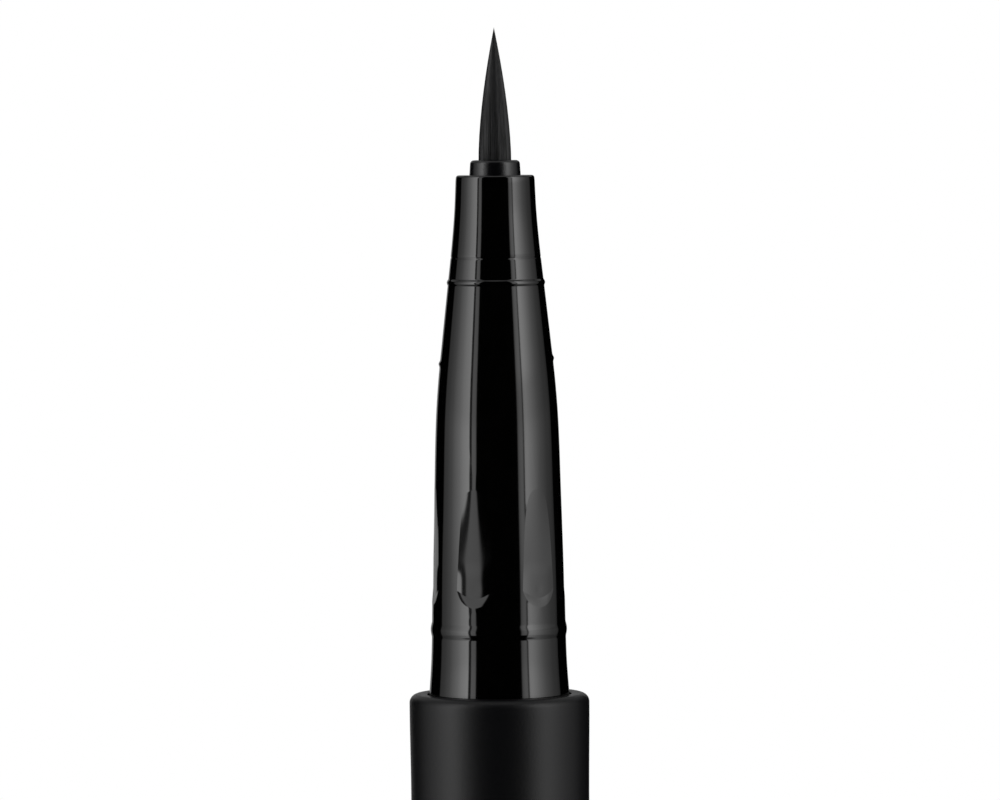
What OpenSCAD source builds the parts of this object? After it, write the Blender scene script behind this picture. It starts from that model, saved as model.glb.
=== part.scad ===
// Brush-tip liquid eyeliner pen, standing with its tip up and its cap posted on its tail.
// Millimetres, +Z up. The origin is the centre of the cap's closed end, on which the pen stands.
// A height named _h is measured up from the barrel's rim, and a height named _z from the origin.

/* [Barrel] */
// Outer diameter of the barrel and the cap
barrel_d = 10.2; // [9.8:0.1:12]
// Length of the barrel from its tail face to its rim
barrel_len = 82; // [60:1:110]
// Wall of the barrel
barrel_wall = 0.98; // [0.8:0.02:1.1]
// How far the barrel swells out at its mouth
mouth_swell = 0.05; // [0.02:0.01:0.1]
// Length over which it swells
swell_len = 6; // [3:0.5:10]
// Rounding of the rim's outer edge
lip_round = 0.5; // [0.3:0.05:0.6]

/* [Front section] */
// Length that stands out of the barrel
nozzle_h = 29.65; // [27:0.05:33]
// Diameter at its tip
nozzle_tip_d = 4.5; // [4.3:0.1:5]
// Least wall round the collector
nozzle_wall = 0.63; // [0.5:0.01:0.7]
// Length pressed into the barrel
nozzle_seat_len = 9; // [7:0.5:12]
// Open gap between its foot and the rim of the barrel
rim_gap = 0.11; // [0.08:0.01:0.2]
// Height of the bead that holds the cap
bead_h = 3.7; // [3.2:0.1:4]
// Rise of that bead
bead_rise = 0.07; // [0.04:0.01:0.1]
// Height of the bead that the inner cap seals on
seal_h = 23.55; // [22.5:0.05:24]
// Rise of that bead
seal_rise = 0.075; // [0.04:0.005:0.1]

/* [Vent flats] */
// Number of flats round the front section
flat_count = 6; // [3:1:7]
// Height at which a flat runs out at its upper end
flat_top_h = 12.3; // [10:0.1:13]
// Height of the lower end of its floor
flat_floor_h = 5.6; // [5.4:0.1:6.5]
// Length of the ramp below the floor
flat_ramp_len = 0.7; // [0.5:0.1:1]
// Turn of the first flat from the +X side
flat_turn = 9.5; // [0:0.5:59.5]

/* [Brush] */
// Diameter of the collar at the foot of the brush
collar_d = 2.93; // [2.8:0.01:3]
// Height of the collar above the front section
collar_h = 0.85; // [0.6:0.05:1.2]
// Diameter of the brush where it leaves the collar
brush_d = 1.874; // [1.6:0.002:1.9]
// Length of the brush above the collar
brush_h = 7.57; // [6:0.01:9]
// Height of the brush's welded root inside its holder
root_len = 5.2; // [4:0.1:6]

/* [Collector] */
// Height of the top of the collector
collector_top_h = 13; // [11:0.5:14]
// Distance from one fin to the next
fin_pitch = 0.8; // [0.7:0.05:1]
// Thickness of a fin
fin_t = 0.35; // [0.3:0.05:0.45]
// Width of the air slot through the fins
slot_w = 0.4; // [0.3:0.05:0.6]
// Diameter of the relay wick
wick_d = 1.5; // [1.2:0.05:1.6]
// Thickness of the soft partition below the collector
stopper_len = 4; // [3:0.5:6]

/* [Tail and ball] */
// Length of the spigot that the cap posts on
spigot_len = 12; // [10:0.5:14]
// Length of the plug inside the barrel
plug_len = 8; // [6:0.5:10]
// Wall of the spigot
spigot_wall = 0.9; // [0.7:0.05:1.2]
// Diameter of the mixing ball
ball_d = 3.2; // [2.6:0.1:4]

/* [Cap] */
// Thickness of the cap's closed end
cap_end = 2; // [1.5:0.1:3]
// Free room above the tip of the brush in the closed cap
tip_room = 3.03; // [2:0.01:4]
// Wall of the inner cap
liner_wall = 0.6; // [0.5:0.05:0.8]
// Floor of the inner cap
liner_floor = 0.9; // [0.7:0.1:1.2]

/* [Hidden] */
$fn = 96;
overrun = 1;
press_gap = 0.01;
cap_gap = 0.025;
slip_gap = 0.03;

// Outline of the front section: shares of its height, and of how far its foot stands
// outside its tip
nozzle_outline_shares = [
    [0, 1], [0.06, 0.932], [0.11, 0.904], [0.24, 0.862], [0.38, 0.786], [0.52, 0.717],
    [0.6, 0.629], [0.68, 0.49], [0.78, 0.306], [0.86, 0.157], [0.93, 0.055], [1, 0]
];

barrel_r = barrel_d / 2;
bore_r = barrel_r - barrel_wall;
mouth_r = barrel_r + mouth_swell;
tail_edge = 0.15;
lip_inner_round = 0.08;

nozzle_foot_r = bore_r - rim_gap;
nozzle_tip_r = nozzle_tip_d / 2;
nozzle_edge = 0.16;
seat_drop = 0.6;
seat_chamfer = 0.3;
bead_half = 0.5;
seal_half = 0.16;

// Height of the shoulder that the brush holder's flange bears on, from the tip
shoulder_drop = 8.15;
shoulder_h = nozzle_h - shoulder_drop;
funnel_len = 4;

collar_r = collar_d / 2;
collar_taper = 0.04;
collar_round = 0.22;
flange_t = 1;
brush_r = brush_d / 2;
root_flange = 0.16;
root_flange_t = 0.8;
retainer_wall = 0.45;

wick_r = wick_d / 2;
wick_dip = 1.5;
collector_wall = 0.5;
collector_flange_t = 1.2;
slot_floor = 0.15;
rib_rise = 0.15;
rib_len = 0.7;

spigot_edge = 0.4;
spigot_floor = 1.3;
dish_rise = 0.6;
cap_edge = 0.6;
relief_len = 1.2;
relief_cone = 0.8;
liner_lap = 1;
liner_ring_t = 1.2;
seal_squeeze = 0.02;

// Rows of filaments across the brush. The number is odd, so one filament stands on the axis.
strand_rows = 19;
// Shares of the brush's length at which a filament has a ring of points
strand_ring_shares = [0.35, 0.7];
// Share of the brush's length at which a filament ends, by how far out it stands
strand_ends = [[0, 1], [0.1, 0.95], [1, 0.86]];
point_shape_share = 1.65;
strand_fill_share = 0.86;
strand_sink = 0.12;

// Slope of a table of points at one of them, from its neighbours
function slope(t, i) =
    let (a = max(i - 1, 0), b = min(i + 1, len(t) - 1))
    (t[b][1] - t[a][1]) / (t[b][0] - t[a][0]);

// Smooth curve through a table of points
function through(t, x) =
    let (
        i = max([for (k = [0:len(t) - 2]) if (k == 0 || t[k][0] <= x) k]),
        w = t[i + 1][0] - t[i][0],
        u = (x - t[i][0]) / w,
        uu = u * u,
        uuu = uu * u
    )
    (2 * uuu - 3 * uu + 1) * t[i][1] + (uuu - 2 * uu + u) * w * slope(t, i)
    + (3 * uu - 2 * uuu) * t[i + 1][1] + (uuu - uu) * w * slope(t, i + 1);

function bump(h, at, half, rise) = rise * max(0, 1 - pow((h - at) / half, 2));

// Radius of the front section's smooth outside, and the same with its two beads
function nozzle_r(h) =
    nozzle_tip_r + (nozzle_foot_r - nozzle_tip_r) * through(nozzle_outline_shares, h / nozzle_h);
function skin_r(h) =
    nozzle_r(h) + bump(h, bead_h, bead_half, bead_rise) + bump(h, seal_h, seal_half, seal_rise);

function steps(a, b, n) = [for (i = [0:n - 1]) a + (b - a) * i / n];
function arc(centre, r, from, to, n = 6) =
    [for (i = [0:n]) let (a = from + (to - from) * i / n) centre + r * [cos(a), sin(a)]];

nozzle_bore_r = nozzle_r(collector_top_h) - nozzle_wall;
chamber_r = nozzle_r(shoulder_h) - nozzle_wall;
press_r = bore_r - press_gap;
tip_bore_r = collar_r + press_gap;
flat_r = nozzle_r(flat_top_h);
flat_foot_h = flat_floor_h - flat_ramp_len;

collar_top_h = nozzle_h + collar_h;
brush_bore_r = brush_r + press_gap;
root_bottom_h = collar_top_h - root_len;
root_top_h = root_bottom_h + root_flange_t;
root_flange_r = brush_r + root_flange;
tip_h = collar_top_h + brush_h;

collector_foot_h = -nozzle_seat_len;
fin_r = nozzle_bore_r - slip_gap;
core_r = wick_r + slip_gap + collector_wall;
stopper_top_h = collector_foot_h - collector_flange_t;
stopper_bottom_h = stopper_top_h - stopper_len;
wick_bottom_h = stopper_bottom_h - wick_dip;

cap_bore_r = skin_r(bead_h) + cap_gap;
cap_mouth_r = nozzle_foot_r + cap_gap;
cap_len = tip_h + tip_room + liner_floor + cap_end;
liner_bore_r = skin_r(seal_h) - seal_squeeze;
liner_r = liner_bore_r + liner_wall;
liner_top_z = cap_len - seal_h + liner_lap;
spigot_r = cap_bore_r - slip_gap;
spigot_bore_r = spigot_r - spigot_wall;
spigot_bottom_z = cap_len - spigot_len;
dish_z = spigot_bottom_z + spigot_floor;
rim_z = cap_len + barrel_len;

ball_r = ball_d / 2;
ball_rest_gap = 0.02;
ball_z = dish_z + ball_r / cos(atan(dish_rise / spigot_bore_r)) + ball_rest_gap;

// Turned solid whose outline is given in radius and height above the rim
module turned(points) {
    translate([0, 0, rim_z]) rotate_extrude() polygon(points);
}

module barrel() {
    color("#2b2b2d") rotate_extrude() polygon(concat(
        [[bore_r, cap_len], [barrel_r - tail_edge, cap_len], [barrel_r, cap_len + tail_edge]],
        [[barrel_r, rim_z - swell_len]],
        arc([mouth_r - lip_round, rim_z - lip_round], lip_round, 0, 90),
        arc([bore_r + lip_inner_round, rim_z - lip_inner_round], lip_inner_round, 90, 180, 3)
    ));
}

// Wedge that cuts one vent flat: a floor parallel to the axis, with a ramp at its lower end
module flat_cutter() {
    far_r = nozzle_foot_r + overrun;
    ramp_slope = flat_ramp_len / (nozzle_r(flat_foot_h) - flat_r);
    rotate([90, 0, 0])
        linear_extrude(height = 2 * nozzle_foot_r, center = true)
            polygon([
                [flat_r, flat_top_h + overrun],
                [far_r, flat_top_h + overrun],
                [far_r, flat_floor_h - (far_r - flat_r) * ramp_slope],
                [flat_r, flat_floor_h]
            ]);
}

module nozzle() {
    heights = concat(
        steps(0, bead_h - bead_half, 8),
        steps(bead_h - bead_half, bead_h + bead_half, 8),
        steps(bead_h + bead_half, seal_h - seal_half, 24),
        steps(seal_h - seal_half, seal_h + seal_half, 4),
        steps(seal_h + seal_half, nozzle_h - nozzle_edge, 8)
    );
    color("#0a0a0b") difference() {
        turned(concat(
            [[nozzle_bore_r, collector_foot_h], [press_r - seat_chamfer, collector_foot_h]],
            [[press_r, collector_foot_h + seat_chamfer], [press_r, -seat_drop]],
            [[nozzle_foot_r, -seat_drop]],
            [for (h = heights) [skin_r(h), h]],
            arc([nozzle_tip_r - nozzle_edge, nozzle_h - nozzle_edge], nozzle_edge, 0, 90, 4),
            [[tip_bore_r, nozzle_h], [tip_bore_r, shoulder_h], [chamber_r, shoulder_h]],
            [[chamber_r, collector_top_h + funnel_len], [nozzle_bore_r, collector_top_h]]
        ));
        for (i = [0:flat_count - 1])
            translate([0, 0, rim_z]) rotate([0, 0, flat_turn + 360 * i / flat_count]) flat_cutter();
    }
}

module brush_holder() {
    flange_r = chamber_r - press_gap;
    top_r = collar_r - collar_taper;
    color("#17171a") turned(concat(
        [[root_flange_r + press_gap, shoulder_h - flange_t], [flange_r, shoulder_h - flange_t]],
        [[flange_r, shoulder_h], [collar_r, shoulder_h], [collar_r, nozzle_h]],
        arc([top_r - collar_round, collar_top_h - collar_round], collar_round, 0, 90),
        [[brush_bore_r, collar_top_h], [brush_bore_r, root_top_h]],
        [[root_flange_r + press_gap, root_top_h]]
    ));
}

module brush_retainer() {
    stem_r = root_flange_r;
    flange_top_h = shoulder_h - flange_t;
    flange_r = chamber_r - press_gap;
    sleeve_r = wick_r + slip_gap;
    color("#d8d8d4") turned([
        [sleeve_r, collector_top_h], [sleeve_r + retainer_wall, collector_top_h],
        [sleeve_r + retainer_wall, flange_top_h - flange_t], [flange_r, flange_top_h - flange_t],
        [flange_r, flange_top_h], [stem_r, flange_top_h],
        [stem_r, root_bottom_h], [sleeve_r, root_bottom_h]
    ]);
}

// Share of its full width that the brush keeps at a share of its length
function draw_in(t) = 1 - pow(max(t, 0), point_shape_share);

// Corner of the grid of filaments, in shares of the brush's radius: a square grid pressed
// into a disc, so that every cell of it keeps the same area
function grid_corner(i, j) =
    let (u = 2 * i / strand_rows - 1, v = 2 * j / strand_rows - 1)
    abs(u) >= abs(v)
        ? u * [cos(45 * v / u), sin(45 * v / u)]
        : v * [sin(45 * u / v), cos(45 * u / v)];

function grid_index(i, j) = j * (strand_rows + 1) + i;

// Where point k of the grid's edge lies in the grid, counter-clockwise
function edge_index(k) =
    let (side = floor(k / strand_rows) % 4, s = k % strand_rows, n = strand_rows)
    side == 0 ? grid_index(s, 0)
        : side == 1 ? grid_index(n, s)
        : side == 2 ? grid_index(n - s, n)
        : grid_index(0, n - s);

// The four corners of a cell, counter-clockwise
function cell(i, j) =
    [grid_corner(i, j), grid_corner(i + 1, j), grid_corner(i + 1, j + 1), grid_corner(i, j + 1)];

function middle(c) = (c[0] + c[1] + c[2] + c[3]) / 4;

// How far out a cell stands, from 0 on the axis to 1 at the edge
function standing(i, j) =
    max(abs(2 * i + 1 - strand_rows), abs(2 * j + 1 - strand_rows)) / (strand_rows - 1);

// Two triangles between the points a, b of a lower ring and those above them
function band(a, b, a_up, b_up) = [[b, a, a_up], [b, a_up, b_up]];

// Rings and end point of one filament
function strand_points(i, j) =
    let (c = cell(i, j), m = middle(c), end_t = lookup(standing(i, j), strand_ends))
    concat(
        [for (t = strand_ring_shares, s = [0:3])
            let (xy = brush_r * draw_in(t) * (m + strand_fill_share * (c[s] - m)))
            [xy.x, xy.y, collar_top_h + t * brush_h]
        ],
        [[brush_r * draw_in(end_t) * m.x, brush_r * draw_in(end_t) * m.y,
            collar_top_h + end_t * brush_h]]
    );

// Faces of one filament, from its cell in the root to its end. Its own points start at first.
function strand_faces(i, j, first) =
    let (
        rings = len(strand_ring_shares),
        foot = [grid_index(i, j), grid_index(i + 1, j), grid_index(i + 1, j + 1),
            grid_index(i, j + 1)]
    )
    concat(
        [for (s = [0:3], f = band(foot[s], foot[(s + 1) % 4], first + s, first + (s + 1) % 4)) f],
        [for (k = [0:rings - 2], s = [0:3])
            let (a = first + 4 * k + s, b = first + 4 * k + (s + 1) % 4)
            each band(a, b, a + 4, b + 4)
        ],
        [for (s = [0:3])
            let (a = first + 4 * (rings - 1))
            [a + (s + 1) % 4, a + s, a + 4]
        ]
    );

// Filaments that grow out of the welded root side by side and draw in to a point, with the
// root's small foot flange, as one closed surface
module brush_tuft() {
    n = strand_rows;
    edge = 4 * n;
    strand_size = 4 * len(strand_ring_shares) + 1;
    strands_from = (n + 1) * (n + 1);
    root_from = strands_from + n * n * strand_size;
    root_levels = [
        [brush_r, root_top_h], [root_flange_r, root_top_h], [root_flange_r, root_bottom_h]
    ];
    points = concat(
        [for (j = [0:n], i = [0:n])
            let (g = brush_r * grid_corner(i, j))
            [g.x, g.y, collar_top_h - strand_sink]
        ],
        [for (j = [0:n - 1], i = [0:n - 1]) each strand_points(i, j)],
        [for (level = root_levels, k = [0:edge - 1])
            let (a = 225 + 360 * k / edge)
            [level[0] * cos(a), level[0] * sin(a), level[1]]
        ],
        [[0, 0, root_bottom_h]]
    );
    faces = concat(
        [for (j = [0:n - 1], i = [0:n - 1])
            each strand_faces(i, j, strands_from + (j * n + i) * strand_size)],
        [for (k = [0:edge - 1])
            let (next = (k + 1) % edge)
            each band(root_from + k, root_from + next, edge_index(k), edge_index(k + 1))
        ],
        [for (level = [1, 2], k = [0:edge - 1])
            let (a = root_from + level * edge + k, b = root_from + level * edge + (k + 1) % edge)
            each band(a, b, a - edge, b - edge)
        ],
        [for (k = [0:edge - 1])
            let (a = root_from + 2 * edge)
            [root_from + 3 * edge, a + k, a + (k + 1) % edge]
        ]
    );
    color("#1c1c1e") translate([0, 0, rim_z]) polyhedron(points = points, faces = faces);
}

module collector() {
    fins = floor((collector_top_h - collector_foot_h - fin_pitch) / fin_pitch);
    first_h = collector_foot_h + fin_pitch;
    sleeve_r = wick_r + slip_gap;
    color("#e6e6e2") difference() {
        turned(concat(
            [[sleeve_r, wick_bottom_h + wick_dip], [core_r, wick_bottom_h + wick_dip]],
            [[core_r, stopper_top_h], [press_r, stopper_top_h], [press_r, collector_foot_h]],
            [[core_r, collector_foot_h]],
            [for (i = [0:fins - 1], p = [[core_r, 0], [fin_r, 0], [fin_r, fin_t], [core_r, fin_t]])
                [p[0], first_h + i * fin_pitch + p[1]]],
            [[core_r, collector_top_h], [sleeve_r, collector_top_h]]
        ));
        translate([0, 0, rim_z]) rotate([0, 0, flat_turn])
            translate([core_r - slot_floor, -slot_w / 2, first_h - fin_t / 2])
                cube([fin_r, slot_w, collector_top_h - first_h]);
    }
}

module relay_wick() {
    color("#f2efe6") translate([0, 0, rim_z + wick_bottom_h])
        cylinder(r = wick_r, h = root_bottom_h - wick_bottom_h);
}

module tank_stopper() {
    body_r = press_r - rib_rise;
    hole_r = core_r + press_gap;
    mid_h = (stopper_top_h + stopper_bottom_h) / 2;
    color("#c9d2d6") turned([
        [hole_r, stopper_bottom_h], [body_r, stopper_bottom_h],
        [body_r, mid_h - 1.5 * rib_len], [press_r, mid_h - rib_len], [body_r, mid_h - rib_len / 2],
        [body_r, mid_h + rib_len / 2], [press_r, mid_h + rib_len], [body_r, mid_h + 1.5 * rib_len],
        [body_r, stopper_top_h], [hole_r, stopper_top_h]
    ]);
}

module tail_plug() {
    top_z = cap_len + plug_len;
    color("#202022") rotate_extrude() polygon([
        [0, spigot_bottom_z], [spigot_r - spigot_edge, spigot_bottom_z],
        [spigot_r, spigot_bottom_z + spigot_edge], [spigot_r, cap_len], [press_r, cap_len],
        [press_r, top_z - seat_chamfer], [press_r - seat_chamfer, top_z], [spigot_bore_r, top_z],
        [spigot_bore_r, dish_z + dish_rise], [0, dish_z]
    ]);
}

module mixing_ball() {
    color("#b9bcc0") translate([0, 0, ball_z]) sphere(r = ball_r);
}

module cap_shell() {
    color("#2b2b2d") rotate_extrude() polygon(concat(
        [[0, 0]],
        arc([barrel_r - cap_edge, cap_edge], cap_edge, -90, 0),
        [[barrel_r, cap_len - tail_edge], [barrel_r - tail_edge, cap_len], [cap_mouth_r, cap_len]],
        [[cap_mouth_r, cap_len - relief_len], [cap_bore_r, cap_len - relief_len - relief_cone]],
        [[cap_bore_r, cap_end], [0, cap_end]]
    ));
}

module inner_cap() {
    ring_r = cap_bore_r - press_gap;
    floor_z = cap_end + liner_floor;
    color("#dcdcd8") rotate_extrude() polygon([
        [0, cap_end], [ring_r, cap_end], [ring_r, cap_end + liner_ring_t],
        [liner_r, cap_end + liner_ring_t], [liner_r, liner_top_z - liner_ring_t],
        [ring_r, liner_top_z - liner_ring_t], [ring_r, liner_top_z],
        [liner_bore_r, liner_top_z], [liner_bore_r, floor_z], [0, floor_z]
    ]);
}

cap_shell();
inner_cap();
tail_plug();
mixing_ball();
barrel();
tank_stopper();
collector();
relay_wick();
nozzle();
brush_retainer();
brush_holder();
brush_tuft();
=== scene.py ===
# %% [markdown]
# # A brush-tip liquid eyeliner pen, dressed in Blender
# The construction model of the pen is loaded as a fixed frame: twelve solids on three bodies,
# the cap, the pen and the mixing ball. This lesson gives it its looks. The pieces that catch
# the light are turned again here with finer steps, the brush grows from a geometry tree, and
# the pieces inside keep their solids and only take a finish. Blender works in metres.

# %% Load the frame
import math

import bmesh
import bpy
from mathutils import Matrix, Vector


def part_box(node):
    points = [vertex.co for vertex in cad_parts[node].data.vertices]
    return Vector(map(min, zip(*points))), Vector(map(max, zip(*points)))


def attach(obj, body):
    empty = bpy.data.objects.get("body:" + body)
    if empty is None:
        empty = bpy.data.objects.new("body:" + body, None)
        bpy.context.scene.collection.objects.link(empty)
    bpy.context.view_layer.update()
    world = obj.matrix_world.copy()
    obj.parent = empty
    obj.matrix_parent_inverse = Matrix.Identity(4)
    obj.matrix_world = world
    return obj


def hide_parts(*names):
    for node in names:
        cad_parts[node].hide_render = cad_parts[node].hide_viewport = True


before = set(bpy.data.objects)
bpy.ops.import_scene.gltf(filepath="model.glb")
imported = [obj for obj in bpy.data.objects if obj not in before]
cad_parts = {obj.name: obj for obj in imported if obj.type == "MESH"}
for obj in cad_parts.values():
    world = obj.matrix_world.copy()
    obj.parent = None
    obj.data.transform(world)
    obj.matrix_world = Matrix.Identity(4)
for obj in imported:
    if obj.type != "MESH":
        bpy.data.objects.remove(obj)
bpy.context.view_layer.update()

# %% [markdown]
# The sizes below are in millimetres, as a turner would write them, and MM makes metres of them.
# The heights are measured up from the barrel's rim, which the loaded barrel itself tells us, so
# the new pieces cannot drift away from the solids that they stand for. The press gap is the hair
# of room between two pieces that are pressed together.

# %% Sizes of the pen
MM = 0.001
RIM_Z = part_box("barrel")[1].z / MM
CAP_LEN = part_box("cap_shell")[1].z / MM
TIP_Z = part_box("brush_tuft")[1].z / MM

BARREL_R = 5.1
MOUTH_R = 5.15
BORE_R = 4.12
FOOT_R = 4.01
NOZZLE_H = 29.65
COLLAR_H = 30.5
BRUSH_R = 0.937
BRUSH_H = TIP_Z - RIM_Z - COLLAR_H
PRESS_GAP = 0.01
print("rim at %.2f mm, brush %.2f mm long, tip at %.2f mm" % (RIM_Z, BRUSH_H, TIP_Z))

# %% [markdown]
# The photograph was taken with a long lens, a little above the middle of the view: the barrel's
# rim shows as a flat ellipse while the tip of the front section shows as a straight line. The
# camera stands 400 mm away and 2.5 degrees up, and is rolled by a hair, because the pen leans.

# %% Camera
VIEW_DISTANCE = 0.400
VIEW_ELEVATION = math.radians(2.5)
VIEW_ROLL = math.radians(-0.48)
FRAME_WIDTH = 0.05714
SENSOR_WIDTH = 36
AIM_SIDE = 0.174
AIM_H = 16.8
CLIP_NEAR = 0.01
CLIP_FAR = 20
aim = Vector((AIM_SIDE * MM, 0, (RIM_Z + AIM_H) * MM))
back = Vector((0, -math.cos(VIEW_ELEVATION), math.sin(VIEW_ELEVATION)))

camera_data = bpy.data.cameras.new("portrait_camera")
camera_data.sensor_width = SENSOR_WIDTH
camera_data.lens = SENSOR_WIDTH * VIEW_DISTANCE / FRAME_WIDTH
camera_data.clip_start = CLIP_NEAR
camera_data.clip_end = CLIP_FAR
camera = bpy.data.objects.new("portrait_camera", camera_data)
bpy.context.scene.collection.objects.link(camera)
turn = (-back).to_track_quat("-Z", "Y") @ Matrix.Rotation(VIEW_ROLL, 3, "Z").to_quaternion()
camera.rotation_mode = "QUATERNION"
camera.rotation_quaternion = turn
camera.location = aim + back * VIEW_DISTANCE
bpy.context.scene.camera = camera
bpy.context.scene.view_settings.view_transform = "Standard"
print("lens %.0f mm" % camera_data.lens, "camera at", [round(v, 4) for v in camera.location])

# %% [markdown]
# A node tree is easier to read as arithmetic. A Wire is one output of a node, and the Python
# operators on it add Math nodes, so the sums in the finishes below look like sums.


# %% Wires
class Wire:
    """One output of a node tree, to calculate with."""

    def __init__(self, graph, socket):
        self.graph = graph
        self.socket = socket

    def math(self, operation, *others):
        values = dict(enumerate((self, *others)))
        return self.graph.add("ShaderNodeMath", {"operation": operation}, values)

    def swapped(self, operation, other):
        return self.graph.add("ShaderNodeMath", {"operation": operation}, {0: other, 1: self})

    def clamped(self):
        """The same value, held between 0 and 1."""
        return self.math("MAXIMUM", 0.0).math("MINIMUM", 1.0)

    def __add__(self, other):
        return self.math("ADD", other)

    def __sub__(self, other):
        return self.math("SUBTRACT", other)

    def __mul__(self, other):
        return self.math("MULTIPLY", other)

    def __truediv__(self, other):
        return self.math("DIVIDE", other)

    def __pow__(self, other):
        return self.math("POWER", other)

    def __rsub__(self, other):
        return self.swapped("SUBTRACT", other)

    def __rtruediv__(self, other):
        return self.swapped("DIVIDE", other)

    __radd__ = __add__
    __rmul__ = __mul__

    def output(self, name):
        """Another output of the same node."""
        return Wire(self.graph, self.socket.node.outputs[name])


print("a Wire calculates with + - * / and **")

# %% [markdown]
# A Graph holds a tree, and one method adds any other node to it: first the node's settings,
# because some of them change its sockets, then the values or wires that go into the sockets.


# %% Graphs
class Graph:
    """A node tree that grows by one call a node."""

    def __init__(self, tree):
        self.tree = tree
        tree.nodes.clear()

    def add(self, kind, settings=None, inputs=None, out=0):
        node = self.tree.nodes.new(kind)
        for key, value in (settings or {}).items():
            if key == "stops":
                self.set_stops(node.color_ramp, value)
            else:
                setattr(node, key, value)
        for key, value in (inputs or {}).items():
            if isinstance(value, Wire):
                self.tree.links.new(value.socket, node.inputs[key])
            else:
                node.inputs[key].default_value = value
        return Wire(self, node.outputs[out]) if len(node.outputs) else None

    def set_stops(self, ramp, stops):
        while len(ramp.elements) < len(stops):
            ramp.elements.new(0.5)
        for element, (at, tone) in zip(ramp.elements, stops):
            element.position = at
            element.color = (tone, tone, tone, 1)


print("a Graph adds nodes by their type")

# %% [markdown]
# A Finish is the graph of a material. Its patterns are noise in the piece's own space, so they
# need no unwrapping and run round corners, as the grain of a real moulding does.


# %% Finishes
class Finish(Graph):
    """A material, with its place on the piece ready to use."""

    def __init__(self, name):
        self.material = bpy.data.materials.new(name + "_finish")
        self.material.use_nodes = True
        super().__init__(self.material.node_tree)
        self.place = self.add("ShaderNodeTexCoord", out="Object")

    def noise(self, scale, detail=2.0, stretch=(1, 1, 1)):
        """Smooth noise from 0 to 1; scale counts its blobs in a metre."""
        place = self.add("ShaderNodeMapping", None, {"Vector": self.place, "Scale": stretch})
        values = {"Vector": place, "Scale": scale, "Detail": detail}
        return self.add("ShaderNodeTexNoise", None, values)

    def between(self, share, low, high):
        """A colour between two, by a share from 0 to 1."""
        values = {"Factor": share, 6: (*low, 1), 7: (*high, 1)}
        return self.add("ShaderNodeMix", {"data_type": "RGBA"}, values, out=2)

    def bump(self, height, distance):
        """A bumped normal from a height of 0 to 1 that stands for a real distance."""
        return self.add("ShaderNodeBump", None, {"Height": height, "Distance": distance})

    def skin(self, **sockets):
        """The Principled surface. A socket's name is given with _ for a space."""
        named = {key.replace("_", " ").title(): value for key, value in sockets.items()}
        named = {key.replace("Ior", "IOR"): value for key, value in named.items()}
        surface = self.add("ShaderNodeBsdfPrincipled", None, named)
        return self.ends_in(surface)

    def ends_in(self, surface):
        """Closes the graph with a surface and hands over the material."""
        self.add("ShaderNodeOutputMaterial", None, {"Surface": surface})
        return self.material


print("a Finish makes a material")

# %% [markdown]
# The front section is moulded in polished steel and comes out like piano lacquer. Its body is
# so black that everything it shows is a reflection: the finish is a sharp clear gloss with a
# trace of long waves, because the wall sinks a little over the fins inside. One roughness all
# over would do for a picture, but it looks computed, so a noise adds the grime of handling.


# %% Gloss black of the front section
def make_gloss_black():
    finish = Finish("gloss_black")
    waves = finish.noise(260, detail=1.0, stretch=(1, 1, 0.35))
    grime = finish.noise(900, detail=3.0)
    return finish.skin(
        base_color=finish.between(grime, (0.0001, 0.0001, 0.0001), (0.0006, 0.0006, 0.0006)),
        roughness=0.055 + 0.03 * grime,
        normal=finish.bump(waves, 0.0045 * MM),
        ior=1.5,
    )


gloss_black = make_gloss_black()
print("made", gloss_black.name)

# %% [markdown]
# The barrel and the cap are moulded in an etched tool. The etch leaves pits of about a tenth
# of a millimetre, which spread a reflection into a soft band. A photographed texture could show
# them, but it has a seam round a tube and noise has none. Two noises do it: a fine one for the
# pits and a wide one for the patches where fingers have rubbed the etch smoother.


# %% Satin black of the barrel and the cap
def make_satin_black(name, low=0.35, rub=0.06, shine=0.26):
    """The roughness of the etch, how much rubbing changes it, and the strength of the shine."""
    finish = Finish(name)
    pits = finish.noise(7000, detail=2.0)
    patches = finish.noise(220, detail=3.0, stretch=(1, 1, 0.3))
    return finish.skin(
        base_color=finish.between(patches, (0.0008, 0.0008, 0.0012), (0.0016, 0.0016, 0.0022)),
        roughness=low + rub * patches,
        normal=finish.bump(pits, 0.004 * MM),
        specular_ior_level=shine,
    )


satin_black = make_satin_black("satin_black")
plug_black = make_satin_black("plug_black", low=0.4, rub=0.05)
collar_black = make_satin_black("collar_black", low=0.22, rub=0.05, shine=0.42)
print("made", satin_black.name, plug_black.name, collar_black.name)

# %% [markdown]
# The brush is charged with ink, so its filaments cling together and their skin catches the
# light like one smooth cone: light at the sides and dark in the middle. Blender's hair shader
# is made for strands, and this brush is kept as a mesh. So the shading normal leans from each
# filament's own towards straight out from the axis. A noise that is stretched along the brush
# paints shade into the colour of the gaps between the tufts, deepest at the root.


# %% Filament black
LEAN = 0.72
# how fast the painted shade in the gaps fades up the brush, and the least of it that stays
GAP_SHADE_FADE = 1.3
GAP_SHADE_LEAST = 0.15


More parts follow.
